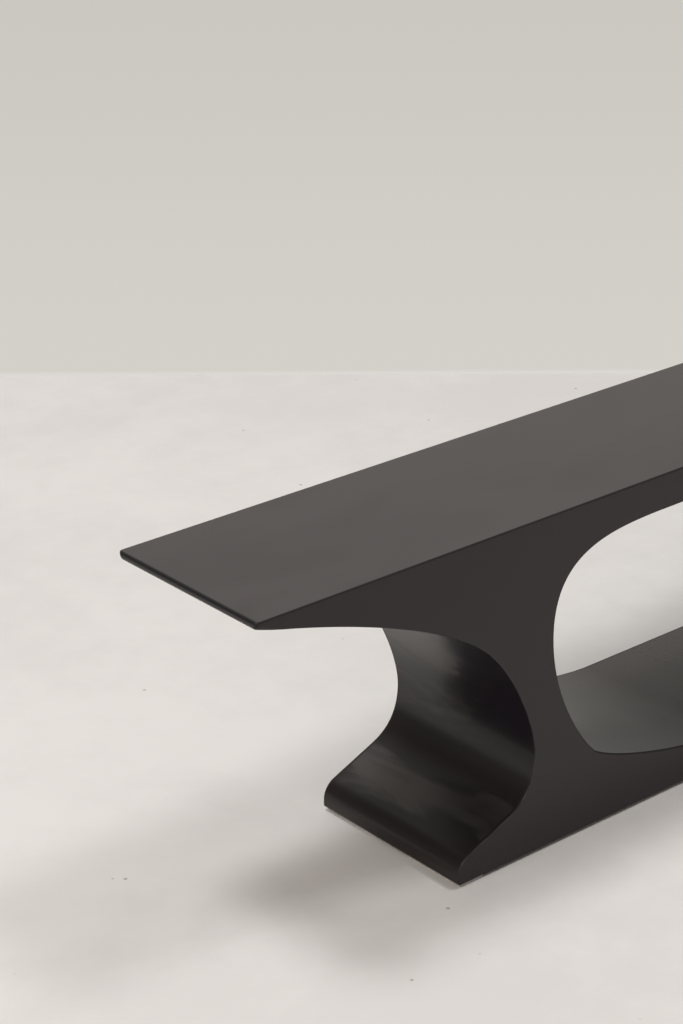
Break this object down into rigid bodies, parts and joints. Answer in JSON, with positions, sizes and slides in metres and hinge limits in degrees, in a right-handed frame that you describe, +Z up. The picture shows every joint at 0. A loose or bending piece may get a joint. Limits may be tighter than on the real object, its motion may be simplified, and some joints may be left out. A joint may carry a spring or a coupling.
{
  "type": "bench",
  "caption": "Long low bench of welded blackened steel: flat seat with thin cantilevered ends, C-curved legs, a floor rail and a long rounded opening right through.",
  "frame": {"origin": "on the floor under the middle of the bench, at the underside of the pads", "axes": "+X along the bench's length, +Y from the front side plate to the rear one, +Z up"},
  "size_m": [1.829, 0.254, 0.457],
  "materials": {
    "blackened_steel": "hot-rolled plate, blackened with a smoky patina and waxed to a satin sheen; edges ground and eased",
    "inner_steel": "bare mill finish, out of sight inside the hollow body",
    "pad_felt": "pressed pale grey felt"
  },
  "bodies": {
    "root": {"front_side_plate": "blackened_steel", "rear_side_plate": "blackened_steel", "seat_plate": "blackened_steel", "left_nose_bar": "blackened_steel", "right_nose_bar": "blackened_steel", "left_overhang_skin": "blackened_steel", "right_overhang_skin": "blackened_steel", "left_leg_skin": "blackened_steel", "right_leg_skin": "blackened_steel", "left_toe_skin": "blackened_steel", "right_toe_skin": "blackened_steel", "ceiling_skin": "blackened_steel", "left_cheek_skin": "blackened_steel", "right_cheek_skin": "blackened_steel", "rail_skin": "blackened_steel", "base_plate": "blackened_steel", "left_seat_rib": "inner_steel", "middle_seat_rib": "inner_steel", "right_seat_rib": "inner_steel", "left_rail_rib": "inner_steel", "middle_rail_rib": "inner_steel", "right_rail_rib": "inner_steel", "left_outer_overhang_rib": "inner_steel", "left_inner_overhang_rib": "inner_steel", "right_outer_overhang_rib": "inner_steel", "right_inner_overhang_rib": "inner_steel", "left_upper_leg_rib": "inner_steel", "left_lower_leg_rib": "inner_steel", "right_upper_leg_rib": "inner_steel", "right_lower_leg_rib": "inner_steel", "left_toe_rib": "inner_steel", "right_toe_rib": "inner_steel", "front_left_pad": "pad_felt", "front_right_pad": "pad_felt", "rear_left_pad": "pad_felt", "rear_right_pad": "pad_felt"}
  },
  "joints": []
}
